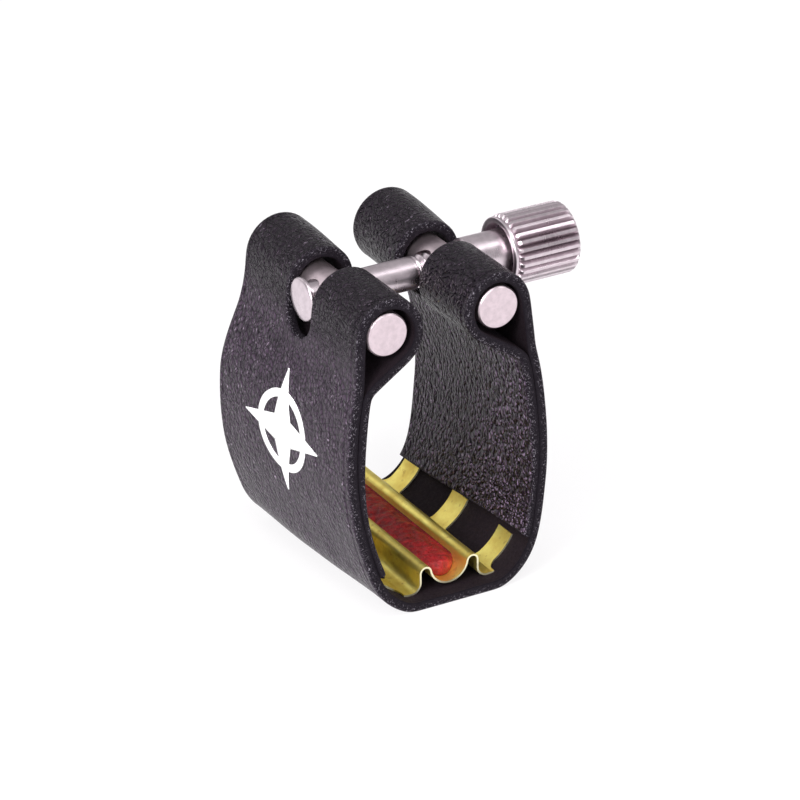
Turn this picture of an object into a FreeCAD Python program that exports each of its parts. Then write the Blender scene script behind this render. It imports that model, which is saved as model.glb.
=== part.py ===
import FreeCAD, Part
import math
import os
import Sketcher

# Soft strap ligature for an alto saxophone mouthpiece.
# Origin: centre of the flat underside.  +X points to the thumb nut, +Y to the back of the
# mouthpiece, +Z up to the closing screw.  All sizes are millimetres.

os.makedirs("parts", exist_ok=True)
doc = FreeCAD.newDocument("ligature")
Vec = FreeCAD.Vector

# ---------------------------------------------------------------- driving dimensions
SIZES = [
    # strap
    ("leather", 1.1), ("flatHalfWidth", 5.4), ("cornerRadius", 7.5), ("cornerHeight", 7.05),
    ("strapHalfWidth", 11.95), ("wallRadius", 36.0), ("wallTopHeight", 26.0),
    ("hingeHeight", 5.1), ("bendGap", 0.3), ("liningStep", 0.55),
    ("frontAtBase", 14.6), ("frontSlope", 0.075), ("backAtBase", 12.4),
    ("stripHeight", 37.0), ("padWidth", 34.0),
    # loops, slot and dowels
    ("dowelRadius", 2.35), ("dowelLength", 23.8), ("dowelSpacing", 13.0), ("dowelHeight", 31.0),
    ("leftHoleRadius", 1.80), ("rightHoleRadius", 2.0), ("edgeBreak", 0.15),
    ("loopBore", 2.85), ("loopInset", 0.2), ("slantAngle", 238.0),
    ("slotWidth", 5.1), ("slotFloor", 27.0),
    # bolt
    ("shankRadius", 1.75), ("boltHeadRadius", 2.35), ("boltHeadFace", 10.1), ("boltHeadSeat", 9.5),
    ("headDome", 0.2), ("headEase", 0.1), ("threadStart", 3.4), ("boltEnd", 16.2),
    ("pitch", 0.8), ("threadDepth", 0.42), ("leadIn", 0.5),
    # thumb nut: a threaded sleeve pressed into a knurled knob
    ("sleeveRadius", 2.4), ("sleeveBore", 1.80), ("sleeveStart", 9.05), ("sleeveEnd", 19.4),
    ("knobStart", 13.5), ("knurlStart", 14.05), ("knobEnd", 21.6), ("knobRadius", 3.9),
    ("collarRadius", 3.7), ("knobEase", 0.25), ("knurlLead", 0.35), ("endRound", 0.5),
    ("recessRadius", 3.05), ("recessEnd", 15.1), ("reliefRadius", 2.0), ("reliefEnd", 20.75),
    ("grooveDepth", 0.45), ("grooveCount", 28), ("grooveOpening", 0.5),
    # reed plate
    ("sheetMetal", 0.2), ("contactGap", 0.02), ("plateFront", 12.9), ("plateBack", 12.0),
    ("railOffset", 2.8), ("railHeight", 2.9), ("crestRadius", 0.62), ("footRadius", 1.1),
    ("valleyLift", 0.35), ("notchRoot", 5.0), ("notchCorner", 1.0), ("endNotchStep", 0.4),
    ("fingerTipHeight", 4.2), ("frontFingerStart", -11.5), ("frontFingerEnd", -8.9),
    ("middleFingerStart", -2.4), ("middleFingerEnd", 0.6),
    ("backFingerStart", 7.4), ("backFingerEnd", 10.4),
    # cushion strip
    ("cushionTop", 3.05), ("cushionCrown", 0.2), ("cushionFront", 11.6), ("cushionBack", 11.4),
    # ornament on the left wall
    ("foil", 0.12), ("starTall", 6.9), ("starWide", 6.9), ("starWaist", 1.45), ("ringRadius", 4.5),
    ("ringWidth", 0.9), ("ornamentHeight", 16.8), ("ornamentShift", -0.2), ("blankDepth", 6.0),
]
sheet = doc.addObject("Spreadsheet::Sheet", "Sizes")
for row, (alias, value) in enumerate(SIZES, start=1):
    sheet.set("A%d" % row, alias)
    sheet.set("B%d" % row, str(value))
    sheet.setAlias("B%d" % row, alias)
doc.recompute()


def size(alias):
    return float(sheet.get(alias))


# ---------------------------------------------------------------- sketch helpers
def polar(centre, radius, degrees):
    turn = math.radians(degrees)
    return (centre[0] + radius * math.cos(turn), centre[1] + radius * math.sin(turn))


def line(start, end):
    return Part.LineSegment(Vec(start[0], start[1], 0), Vec(end[0], end[1], 0))


def arc(centre, radius, start, end):
    """Arc between two angles in degrees, always stored anticlockwise."""
    low, high = sorted((start, end))
    points = [polar(centre, radius, a) for a in (low, (low + high) / 2.0, high)]
    return Part.Arc(*[Vec(x, y, 0) for x, y in points])


def polygon(points):
    return [line(a, b) for a, b in zip(points, points[1:] + points[:1])]


def mirrored(point, side):
    return (side * point[0], point[1])


def sketch_on(body, name, role):
    plane = [o for o in body.Origin.OriginFeatures if o.Role == role][0]
    sketch = body.newObject("Sketcher::SketchObject", name)
    sketch.AttachmentSupport = [(plane, "")]
    sketch.MapMode = "FlatFace"
    return sketch


def add_outline(sketch, edges):
    """Add a closed outline and tie each edge's end to the next edge's start."""
    first = sketch.GeometryCount
    sketch.addGeometry(edges, False)
    geometry = sketch.Geometry[first:]

    joined = set()

    def free_ends(index):
        curve = geometry[index]
        ends = ((curve.StartPoint, 1), (curve.EndPoint, 2))
        return [(point, end) for point, end in ends if (index, end) not in joined]

    for i in range(len(geometry)):
        follower = (i + 1) % len(geometry)
        gap, here, there = min(((a - b).Length, pa, pb) for a, pa in free_ends(i)
                               for b, pb in free_ends(follower))
        joined.update([(i, here), (follower, there)])
        sketch.addConstraint(
            Sketcher.Constraint("Coincident", first + i, here, first + follower, there))
    return first


def bind_radius(sketch, edge, expression):
    """Tie the radius of one arc or circle of a sketch to the sheet."""
    index = sketch.addConstraint(
        Sketcher.Constraint("Radius", edge, sketch.Geometry[edge].Radius))
    sketch.setExpression("Constraints[%d]" % index, expression)


def new_body(label):
    body = doc.addObject("PartDesign::Body", label)
    body.Label = label
    return body


def pad(body, sketch, length):
    feature = body.newObject("PartDesign::Pad", sketch.Name + "_pad")
    feature.Profile = sketch
    feature.SideType = "Symmetric"
    feature.setExpression("Length", length)
    return feature


def pocket_through(body, sketch):
    """Cut through the body both ways from the sketch, and make sure that it cuts."""
    doc.recompute()
    before = body.Shape.Volume
    feature = body.newObject("PartDesign::Pocket", sketch.Name + "_cut")
    feature.Profile = sketch
    feature.Type = "ThroughAll"
    feature.SideType = "Symmetric"
    doc.recompute()
    if body.Shape.Volume > before - 1e-3:
        raise RuntimeError(sketch.Name + " cut nothing")
    return feature


def revolve(body, sketch):
    feature = body.newObject("PartDesign::Revolution", sketch.Name + "_turned")
    feature.Profile = sketch
    feature.ReferenceAxis = (sketch, ["H_Axis"])
    feature.Angle = 360.0
    return feature


# ---------------------------------------------------------------- shared strap geometry
leather = size("leather")
corner_r = size("cornerRadius")
wall_r = size("wallRadius")
flat_half = size("flatHalfWidth")
wall_cx = size("strapHalfWidth") - wall_r

# The corner arc starts at the edge of the flat and runs into the wall arc without a break.
corner_rise = size("cornerHeight")
corner_c = (flat_half - math.sqrt(corner_r ** 2 - corner_rise ** 2), corner_rise)
centre_gap = wall_r - corner_r
rise = math.sqrt(centre_gap ** 2 - (corner_c[0] - wall_cx) ** 2)
wall_c = (wall_cx, corner_c[1] + rise)
blend_angle = math.degrees(math.atan2(corner_c[1] - wall_c[1], corner_c[0] - wall_c[0]))

# The strap bends just above the plate's fingers: hinge line at mid thickness of one layer.
hinge_radius = wall_r - leather / 2.0
hinge_angle = math.degrees(math.asin((size("hingeHeight") - wall_c[1]) / hinge_radius))
half_gap_angle = math.degrees(size("bendGap") / 2.0 / hinge_radius)
hinge_point = polar(wall_c, hinge_radius, hinge_angle)


def trim_rims(body, name):
    """Lean the front rim back towards the top, and cut the back rim square."""
    top = size("stripHeight")
    front = size("frontAtBase")
    far = size("padWidth")
    lean = front - size("frontSlope") * top
    back = size("backAtBase")
    sketch = sketch_on(body, name, "YZ_Plane")
    add_outline(sketch, polygon([(-far, -1), (-front, -1), (-front, 0), (-lean, top), (-far, top)]))
    add_outline(sketch, polygon([(back, -1), (far, -1), (far, top), (back, top)]))
    pocket_through(body, sketch)


# ---------------------------------------------------------------- strap: base
def make_strap_base():
    body = new_body("strap_base")
    sketch = sketch_on(body, "base_section", "XZ_Plane")
    end_angle = hinge_angle - half_gap_angle
    inner_r = corner_r - leather
    inner_half = corner_c[0] + math.sqrt(inner_r ** 2 - (corner_c[1] - leather) ** 2)
    edges = []
    for side in (1, -1):
        corner = mirrored(corner_c, side)
        wall = mirrored(wall_c, side)

        def turned(angle):
            return angle if side > 0 else 180.0 - angle

        flat_angle = math.degrees(math.atan2(-corner_c[1], flat_half - corner_c[0]))
        inner_angle = math.degrees(math.atan2(leather - corner_c[1], inner_half - corner_c[0]))
        run = [
            arc(corner, corner_r, turned(flat_angle), turned(blend_angle)),
            arc(wall, wall_r, turned(blend_angle), turned(end_angle)),
            line(polar(wall, wall_r, turned(end_angle)), polar(wall, wall_r - leather, turned(end_angle))),
            arc(wall, wall_r - leather, turned(end_angle), turned(blend_angle)),
            arc(corner, inner_r, turned(blend_angle), turned(inner_angle)),
        ]
        if side > 0:
            edges += run + [line((inner_half, leather), (-inner_half, leather))]
        else:
            edges += run[::-1] + [line((-flat_half, 0), (flat_half, 0))]
    add_outline(sketch, edges)
    pad(body, sketch, "Sizes.padWidth")
    trim_rims(body, "base_rims")
    return body


# ---------------------------------------------------------------- strap: side with its dowel loop
def make_strap_side(label, side):
    body = new_body(label)
    sketch = sketch_on(body, label + "_section", "XZ_Plane")
    wall = mirrored(wall_c, side)
    bore = size("loopBore")
    outer = bore + leather
    loop = (side * (size("dowelSpacing") / 2.0 - size("loopInset")), size("dowelHeight"))
    slant = size("slantAngle")

    def turned(angle):
        return angle if side > 0 else 180.0 - angle

    def leave_angle(point, radius):
        """Angle on the loop circle where the line from a point below touches its outer side."""
        dx = side * (point[0] - loop[0])
        dz = point[1] - loop[1]
        reach = math.hypot(dx, dz)
        return math.degrees(math.atan2(dz, dx) + math.acos(radius / reach))

    def meet_wall(radius, wall_radius):
        """Where the slanted inner layer, tangent to a loop circle, meets a wall circle."""
        start = polar(loop, radius, turned(slant))
        along = (side * -math.sin(math.radians(slant)), math.cos(math.radians(slant)))
        rx = start[0] - wall[0]
        rz = start[1] - wall[1]
        half = rx * along[0] + rz * along[1]
        step = -half + math.sqrt(half ** 2 + wall_radius ** 2 - rx ** 2 - rz ** 2)
        return (start[0] + step * along[0], start[1] + step * along[1])

    def wall_angle(point):
        return math.degrees(math.atan2(point[1] - wall[1], side * (point[0] - wall[0])))

    low = hinge_angle + half_gap_angle
    lining_low = low + math.degrees(size("liningStep") / hinge_radius)
    high = math.degrees(math.asin((size("wallTopHeight") - wall_c[1]) / wall_r))
    single_r = wall_r - leather
    lining_r = wall_r - 2.0 * leather
    outer_top = polar(wall, wall_r, turned(high))
    outer_leave = leave_angle(outer_top, outer)
    neck = meet_wall(outer, lining_r)
    corner = meet_wall(bore, single_r)
    inner_leave = leave_angle(corner, bore)

    add_outline(sketch, [
        arc(wall, wall_r, turned(low), turned(high)),
        line(outer_top, polar(loop, outer, turned(outer_leave))),
        arc(loop, outer, turned(outer_leave), turned(slant)),
        line(polar(loop, outer, turned(slant)), neck),
        arc(wall, lining_r, turned(wall_angle(neck)), turned(lining_low)),
        line(polar(wall, lining_r, turned(lining_low)), polar(wall, single_r, turned(lining_low))),
        arc(wall, single_r, turned(lining_low), turned(low)),
        line(polar(wall, single_r, turned(low)), polar(wall, wall_r, turned(low))),
    ])
    inside = add_outline(sketch, [
        line(corner, polar(loop, bore, turned(inner_leave))),
        arc(loop, bore, turned(inner_leave), turned(slant)),
        line(polar(loop, bore, turned(slant)), corner),
    ])
    bind_radius(sketch, inside + 1, "Sizes.loopBore")
    pad(body, sketch, "Sizes.padWidth")
    trim_rims(body, label + "_rims")

    # U-shaped slot that parts each end into two loops and lets the screw through.
    slot = sketch_on(body, label + "_slot", "YZ_Plane")
    half = size("slotWidth") / 2.0
    floor = size("slotFloor") + half
    top = size("stripHeight")
    first = add_outline(slot, [
        arc((0, floor), half, 180.0, 360.0),
        line((half, floor), (half, top)),
        line((half, top), (-half, top)),
        line((-half, top), (-half, floor)),
    ])
    bind_radius(slot, first, "Sizes.slotWidth / 2")
    pocket_through(body, slot)
    return body


# ---------------------------------------------------------------- dowels
def make_dowel(label, side, hole):
    body = new_body(label)
    section = sketch_on(body, label + "_section", "XZ_Plane")
    section.addGeometry(Part.Circle(Vec(0, 0, 0), Vec(0, 0, 1), size("dowelRadius")), False)
    section.addConstraint(Sketcher.Constraint("Coincident", 0, 3, -1, 1))
    bind_radius(section, 0, "Sizes.dowelRadius")
    rod = pad(body, section, "Sizes.dowelLength")
    doc.recompute()
    ends = ["Edge%d" % (i + 1) for i, edge in enumerate(rod.Shape.Edges)
            if isinstance(edge.Curve, Part.Circle)]
    rounding = body.newObject("PartDesign::Chamfer", label + "_edge_break")
    rounding.Base = (rod, ends)
    rounding.setExpression("Size", "Sizes.edgeBreak")
    cross = sketch_on(body, label + "_cross_hole", "YZ_Plane")
    cross.addGeometry(Part.Circle(Vec(0, 0, 0), Vec(0, 0, 1), size(hole)), False)
    cross.addConstraint(Sketcher.Constraint("Coincident", 0, 3, -1, 1))
    bind_radius(cross, 0, "Sizes." + hole)
    pocket_through(body, cross)
    body.setExpression(".Placement.Base.x", "%d * Sizes.dowelSpacing / 2" % side)
    body.setExpression(".Placement.Base.z", "Sizes.dowelHeight")
    return body


# ---------------------------------------------------------------- turned pieces on the screw axis
def make_turned(label, edges):
    """Turn an outline about the screw axis and lift it to the dowels' height."""
    body = new_body(label)
    sketch = sketch_on(body, label + "_profile", "XZ_Plane")
    add_outline(sketch, edges)
    revolve(body, sketch)
    body.setExpression(".Placement.Base.z", "Sizes.dowelHeight")
    return body


def make_bolt():
    face = -size("boltHeadFace")
    seat = -size("boltHeadSeat")
    head = size("boltHeadRadius")
    shank = size("shankRadius")
    end = size("boltEnd")
    pitch = size("pitch")
    root = shank - size("threadDepth")
    dome = size("headDome")
    ease = size("headEase")
    lead = size("leadIn")
    rim = head - ease
    points = [(face + dome, rim), (face + dome + ease, head), (seat, head), (seat, shank)]
    at = size("threadStart")
    while at + pitch < end - lead:
        points += [(at, shank), (at + pitch / 2.0, root)]
        at += pitch
    points += [(at, shank), (end - lead, shank), (end, root), (end, 0), (face, 0)]
    edges = [line(a, b) for a, b in zip(points, points[1:])]
    crown_radius = (rim ** 2 + dome ** 2) / (2.0 * dome)
    crown = arc((face + crown_radius, 0), crown_radius,
                180.0 - math.degrees(math.asin(rim / crown_radius)), 180.0)
    return make_turned("bolt", edges + [crown])


def make_sleeve():
    near = size("sleeveStart")
    far = size("sleeveEnd")
    bore = size("sleeveBore")
    out = size("sleeveRadius")
    ease = size("edgeBreak")
    return make_turned("nut_sleeve", polygon([
        (near, bore), (near, out - ease), (near + ease, out), (far, out), (far, bore)]))


def make_knob():
    near = size("knobStart")
    step = size("knurlStart")
    far = size("knobEnd")
    collar = size("collarRadius")
    knurl = size("knobRadius")
    recess = size("recessRadius")
    sleeve = size("sleeveRadius")
    relief = size("reliefRadius")
    root = knurl - size("grooveDepth")
    ease = size("knobEase")
    end_round = size("endRound")
    body = make_turned("thumb_knob", polygon([
        (near, recess), (near, collar - ease), (near + ease, collar), (step - ease, collar),
        (step, root), (step + size("knurlLead"), knurl), (far - end_round, knurl),
        (far - ease, root), (far, root - ease), (far, 0),
        (size("reliefEnd"), 0), (size("reliefEnd"), relief), (size("sleeveEnd"), relief),
        (size("sleeveEnd"), sleeve), (size("recessEnd"), sleeve), (size("recessEnd"), recess)]))

    # One V groove of the knurl, cut from the collar to the far end and repeated round the axis.
    count = size("grooveCount")
    opening = size("grooveOpening")
    half_width = math.pi * knurl / count * (1.0 + opening / size("grooveDepth"))
    groove = sketch_on(body, "knurl_groove", "YZ_Plane")
    groove.setExpression(".AttachmentOffset.Base.z", "Sizes.knurlStart")
    top = knurl + opening
    add_outline(groove, polygon([(0, root), (half_width, top), (-half_width, top)]))
    doc.recompute()
    before = body.Shape.Volume
    cut = body.newObject("PartDesign::Pocket", "knurl_groove_cut")
    cut.Profile = groove
    cut.Type = "Length"
    cut.Reversed = True
    cut.setExpression("Length", "Sizes.knobEnd + 1")
    doc.recompute()
    if body.Shape.Volume > before - 1e-3:
        raise RuntimeError("knurl groove cut nothing")
    ring = body.newObject("PartDesign::PolarPattern", "knurl")
    ring.Originals = [cut]
    ring.Axis = (groove, ["N_Axis"])
    ring.Angle = 360.0
    ring.setExpression("Occurrences", "Sizes.grooveCount")
    body.Tip = ring
    return body


# ---------------------------------------------------------------- reed plate
def make_reed_plate():
    body = new_body("reed_plate")
    sketch = sketch_on(body, "plate_section", "XZ_Plane")
    metal = size("sheetMetal")
    gap = size("contactGap")
    floor = leather + gap
    crest_r = size("crestRadius")
    foot_r = size("footRadius")
    middle = metal / 2.0
    crest_x = size("railOffset")
    crest_z = floor + size("railHeight") - middle - crest_r
    valley_z0 = floor + size("valleyLift") + middle
    lift = crest_z - valley_z0
    valley_r = (crest_x ** 2 + lift ** 2 - crest_r ** 2) / (2.0 * (lift + crest_r))
    valley = (0.0, valley_z0 + valley_r)
    tilt = math.degrees(math.atan2(crest_z - valley[1], crest_x))
    finger_r = corner_r - leather - gap - middle
    tip_angle = math.degrees(math.asin((size("fingerTipHeight") - corner_c[1]) / finger_r))
    foot_x = crest_x + crest_r + foot_r
    foot_z = floor + middle + foot_r

    def contour(side, shift):
        """One half of the sheet's upper (+) or lower (-) surface, from the middle outwards."""
        crest = (side * crest_x, crest_z)
        foot = (side * foot_x, foot_z)
        corner = mirrored(corner_c, side)

        def turned(angle):
            return angle if side > 0 else 180.0 - angle

        flat_z = floor + middle + shift
        r_in = finger_r - shift
        join_x = corner_c[0] + math.sqrt(r_in ** 2 - (corner_c[1] - flat_z) ** 2)
        join = math.degrees(math.atan2(flat_z - corner_c[1], join_x - corner_c[0]))
        return [
            arc(valley, valley_r - shift, turned(-90.0), turned(tilt)),
            arc(crest, crest_r + shift, turned(180.0 + tilt), turned(0.0)),
            line(polar(crest, crest_r + shift, turned(0.0)),
                 polar(foot, foot_r - shift, turned(180.0))),
            arc(foot, foot_r - shift, turned(180.0), turned(270.0)),
            line(polar(foot, foot_r - shift, turned(270.0)), (side * join_x, flat_z)),
            arc(corner, r_in, turned(join), turned(tip_angle)),
        ]

    edges = contour(1, middle)
    edges.append(line(polar(corner_c, finger_r - middle, tip_angle),
                      polar(corner_c, finger_r + middle, tip_angle)))
    edges += contour(1, -middle)[::-1]
    edges += contour(-1, -middle)
    left_corner = mirrored(corner_c, -1)
    edges.append(line(polar(left_corner, finger_r + middle, 180.0 - tip_angle),
                      polar(left_corner, finger_r - middle, 180.0 - tip_angle)))
    edges += contour(-1, middle)[::-1]
    add_outline(sketch, edges)
    pad(body, sketch, "Sizes.padWidth")

    # Front and back edges, then the notches that leave three fingers on each side.
    front = size("plateFront")
    back = size("plateBack")
    far = size("padWidth")
    out = size("strapHalfWidth") + 1.0
    corner = size("notchCorner")
    root = size("notchRoot")
    plan = sketch_on(body, "plate_plan", "XY_Plane")
    add_outline(plan, polygon([(-out, -far), (out, -far), (out, -front), (-out, -front)]))
    add_outline(plan, polygon([(-out, back), (out, back), (out, far), (-out, far)]))
    pocket_through(body, plan)

    fingers = [(size(name + "FingerStart"), size(name + "FingerEnd"))
               for name in ("front", "middle", "back")]
    notches = sketch_on(body, "plate_notches", "XY_Plane")
    for side in (1, -1):
        x_far = side * out
        x_root = side * root
        x_bend = side * (root + corner)
        low_root = 270.0 - side * 90.0
        high_root = 90.0 + side * 90.0
        for (_, low), (high, _) in zip(fingers, fingers[1:]):
            add_outline(notches, [
                line((x_far, low), (x_bend, low)),
                arc((x_bend, low + corner), corner, 270.0, low_root),
                line((x_root, low + corner), (x_root, high - corner)),
                arc((x_bend, high - corner), corner, high_root, 90.0),
                line((x_bend, high), (x_far, high)),
                line((x_far, high), (x_far, low)),
            ])
    pocket_through(body, notches)

    # Beyond the outermost fingers only the rails' feet run on to the plate's ends.
    foot_end = root + size("endNotchStep")
    steps = sketch_on(body, "plate_steps", "XY_Plane")
    for side in (1, -1):
        for edge, away in ((fingers[0][0], -1.0), (fingers[-1][1], 1.0)):
            outside = away * far
            x_far = side * out
            x_root = side * foot_end
            x_bend = side * (foot_end + corner)
            edge_side = 180.0 + away * 90.0
            root_side = 180.0 if side > 0 else 180.0 + away * 180.0
            add_outline(steps, [
                line((x_far, edge), (x_bend, edge)),
                arc((x_bend, edge + away * corner), corner, edge_side, root_side),
                line((x_root, edge + away * corner), (x_root, outside)),
                line((x_root, outside), (x_far, outside)),
                line((x_far, outside), (x_far, edge)),
            ])
    pocket_through(body, steps)
    return body, valley, valley_r - middle - gap


# ---------------------------------------------------------------- cushion strip in the valley
def make_cushion(valley, bed_radius):
    top = size("cushionTop")
    crown = size("cushionCrown")
    half = math.sqrt(bed_radius ** 2 - (valley[1] - top) ** 2)
    edge_angle = math.degrees(math.atan2(top - valley[1], half))
    body = new_body("cushion_strip")
    sketch = sketch_on(body, "cushion_section", "XZ_Plane")
    over = Part.Arc(Vec(half, top, 0), Vec(0, top + crown, 0), Vec(-half, top, 0))
    add_outline(sketch, [arc(valley, bed_radius, edge_angle, -180.0 - edge_angle), over])
    pad(body, sketch, "Sizes.padWidth")
    plan = sketch_on(body, "cushion_ends", "XY_Plane")
    far = size("padWidth")
    side = half + 1.0
    for end, away in ((-size("cushionFront"), -1.0), (size("cushionBack"), 1.0)):
        round_y = end - away * half
        add_outline(plan, [
            arc((0, round_y), half, 0.0, away * 180.0),
            line((half, round_y), (side, round_y)),
            line((side, round_y), (side, away * far)),
            line((side, away * far), (-side, away * far)),
            line((-side, away * far), (-side, round_y)),
            line((-side, round_y), (-half, round_y)),
        ])
    pocket_through(body, plan)
    return body


# ---------------------------------------------------------------- foil ornament on the left wall
def make_ornament():
    """A four-pointed star through a ring, lying as thin foil on the curved wall."""
    tall = size("starTall")
    wide = size("starWide")
    waist = size("starWaist")
    high = size("ornamentHeight")
    depth = size("blankDepth")

    def blank(name, wires):
        """Extrude a face that stands in the YZ plane across the left wall."""
        face = doc.addObject("Part::Feature", name + "_face")
        face.Shape = Part.makeFace(wires, "Part::FaceMakerBullseye")
        solid = doc.addObject("Part::Extrusion", name)
        solid.Base = face
        solid.Dir = Vec(depth, 0, 0)
        solid.Solid = True
        return solid

    def place(y, z):
        return Vec(-size("strapHalfWidth") - depth / 2.0, size("ornamentShift") + y, high + z)

    corners = []
    for quarter in range(4):
        turn = math.radians(90.0 * quarter)
        reach = wide if quarter % 2 == 0 else tall
        corners.append(place(reach * math.cos(turn), reach * math.sin(turn)))
        corners.append(place(waist * (math.cos(turn) - math.sin(turn)),
                             waist * (math.sin(turn) + math.cos(turn))))
    star = blank("star", [Part.makePolygon(corners + corners[:1])])
    rings = [Part.Wire(Part.makeCircle(radius, place(0, 0), Vec(1, 0, 0)))
             for radius in (size("ringRadius"), size("ringRadius") - size("ringWidth"))]
    ring = blank("ring", rings)
    figure = doc.addObject("Part::MultiFuse", "figure")
    figure.Shapes = [star, ring]

    far_wall = mirrored(wall_c, -1)
    rods = []
    for name, radius in (("foil_outside", "Sizes.wallRadius + Sizes.foil"),
                         ("foil_inside", "Sizes.wallRadius")):
        rod = doc.addObject("Part::Cylinder", name)
        rod.setExpression("Radius", radius)
        rod.setExpression("Height", "Sizes.padWidth")
        rod.Placement = FreeCAD.Placement(Vec(far_wall[0], size("padWidth") / 2.0, far_wall[1]),
                                          FreeCAD.Rotation(Vec(1, 0, 0), 90))
        rods.append(rod)
    shell = doc.addObject("Part::Cut", "foil_shell")
    shell.Base, shell.Tool = rods
    ornament = doc.addObject("Part::Common", "ornament")
    ornament.Label = "wall_ornament"
    ornament.Base = figure
    ornament.Tool = shell
    return ornament


# ---------------------------------------------------------------- build, check and write
plate, valley_centre, bed = make_reed_plate()
pieces = [
    make_strap_base(),
    make_strap_side("strap_left", -1),
    make_strap_side("strap_right", 1),
    make_dowel("left_dowel", -1, "leftHoleRadius"),
    make_dowel("right_dowel", 1, "rightHoleRadius"),
    make_bolt(),
    make_sleeve(),
    make_knob(),
    plate,
    make_cushion(valley_centre, bed),
    make_ornament(),
]
doc.recompute()

failed = [o.Name for o in doc.Objects if "Invalid" in o.State or "Error" in o.State]
if failed:
    raise RuntimeError("failed objects: " + ", ".join(failed))
for piece in pieces:
    shape = piece.Shape
    if shape.isNull() or not shape.isValid() or len(shape.Solids) != 1:
        raise RuntimeError(piece.Label + " is not one valid solid")
for piece in pieces:
    piece.Shape.exportStep(os.path.join("parts", piece.Label + ".step"))
    print("%-14s %8.2f mm3" % (piece.Label, piece.Shape.Volume))
print("hinge line x %.3f z %.3f" % hinge_point)
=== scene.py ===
import math

import bpy
import numpy as np
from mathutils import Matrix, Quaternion, Vector, noise


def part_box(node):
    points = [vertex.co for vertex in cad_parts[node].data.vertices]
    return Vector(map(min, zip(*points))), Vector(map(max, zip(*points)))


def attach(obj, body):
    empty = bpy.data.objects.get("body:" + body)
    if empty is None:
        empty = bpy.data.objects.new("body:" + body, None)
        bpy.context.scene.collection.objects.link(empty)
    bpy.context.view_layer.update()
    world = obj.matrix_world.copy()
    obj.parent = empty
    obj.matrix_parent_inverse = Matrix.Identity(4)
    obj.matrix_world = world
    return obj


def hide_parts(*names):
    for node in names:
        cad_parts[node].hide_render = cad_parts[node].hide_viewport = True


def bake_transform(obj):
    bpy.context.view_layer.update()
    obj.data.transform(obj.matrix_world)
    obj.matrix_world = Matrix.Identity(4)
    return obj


# Saxophone ligature: a leather strap whose two ends loop round dowels, drawn together by a
# bolt and thumb nut over a brass reed plate with a red cushion strip.
# Lengths in this script are millimetres in the CAD frame; MM turns them into metres.

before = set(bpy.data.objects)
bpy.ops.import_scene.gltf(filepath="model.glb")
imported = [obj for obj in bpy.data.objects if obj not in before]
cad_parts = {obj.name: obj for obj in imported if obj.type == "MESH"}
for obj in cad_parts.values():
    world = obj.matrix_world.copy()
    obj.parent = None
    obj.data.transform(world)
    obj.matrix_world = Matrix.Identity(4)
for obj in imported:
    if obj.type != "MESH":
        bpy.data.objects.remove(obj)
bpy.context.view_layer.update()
MM = 0.001


def box_mm(node):
    low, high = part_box(node)
    return low / MM, high / MM


def step_up(value, start, end):
    """Smooth 0 to 1 between start and end."""
    share = min(max((value - start) / (end - start), 0.0), 1.0)
    return share * share * (3.0 - 2.0 * share)


# ------------------------ strap dimensions
LEATHER = 1.1            # thickness of the strap
FLAT_HALF = 5.4          # half width of the flat underside
CORNER_RADIUS = 7.5      # outside radius of the lower corner
CORNER_HEIGHT = 7.05     # height of the corner's centre
STRAP_HALF_WIDTH = 11.95
WALL_RADIUS = 36.0       # outside radius of the slightly bowed wall
WALL_TOP = 26.0          # height at which the wall leans in towards its loop
LOOP_BORE = 2.85         # inside radius of the loop, loose on its dowel
LOOP_INSET = 0.2         # the loop hangs that much inside the dowel's axis
SLANT = 238.0            # place on the loop, in degrees, where the lining leaves it
LINING_END = 3.6         # height of the lining's lower edge
SLOT_WIDTH = 5.1
SLOT_FLOOR = 27.0        # height of the slot's ends
FRONT_AT_BASE = 14.6     # front rim's distance from the middle, at the underside
FRONT_SLOPE = 0.075      # how much of that the rim loses for each millimetre up
BACK = 12.4              # back rim's distance from the middle
BEND_SOFTNESS = 0.55     # how far a bend spreads along the strip
SKIN_ROUND = 0.34        # rounding of a cut edge on the grain side
FLESH_ROUND = 0.13       # rounding of a cut edge on the flesh side
CREASE_INSET = 0.95      # tooled line beside each cut edge
CREASE_DEPTH = 0.07
CREASE_WIDTH = 0.13
ROW_STEP = 0.42
COLUMN_STEP = 0.55
FINE_STEP = 0.05         # spacing of the folded line's points

dowel_low, dowel_high = box_mm("right_dowel")
dowel_centre = ((dowel_low.x + dowel_high.x) / 2.0, (dowel_low.z + dowel_high.z) / 2.0)


def polar(centre, radius, degrees):
    turn = math.radians(degrees)
    return (centre[0] + radius * math.cos(turn), centre[1] + radius * math.sin(turn))


def run_points(start, end, count=60):
    share = np.linspace(0.0, 1.0, count, endpoint=False)[:, None]
    return np.array(start) + share * (np.array(end) - np.array(start))


def arc_points(centre, radius, start, end, count=240):
    angles = np.linspace(start, end, count, endpoint=False)
    return np.array([polar(centre, radius, a) for a in angles])


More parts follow.
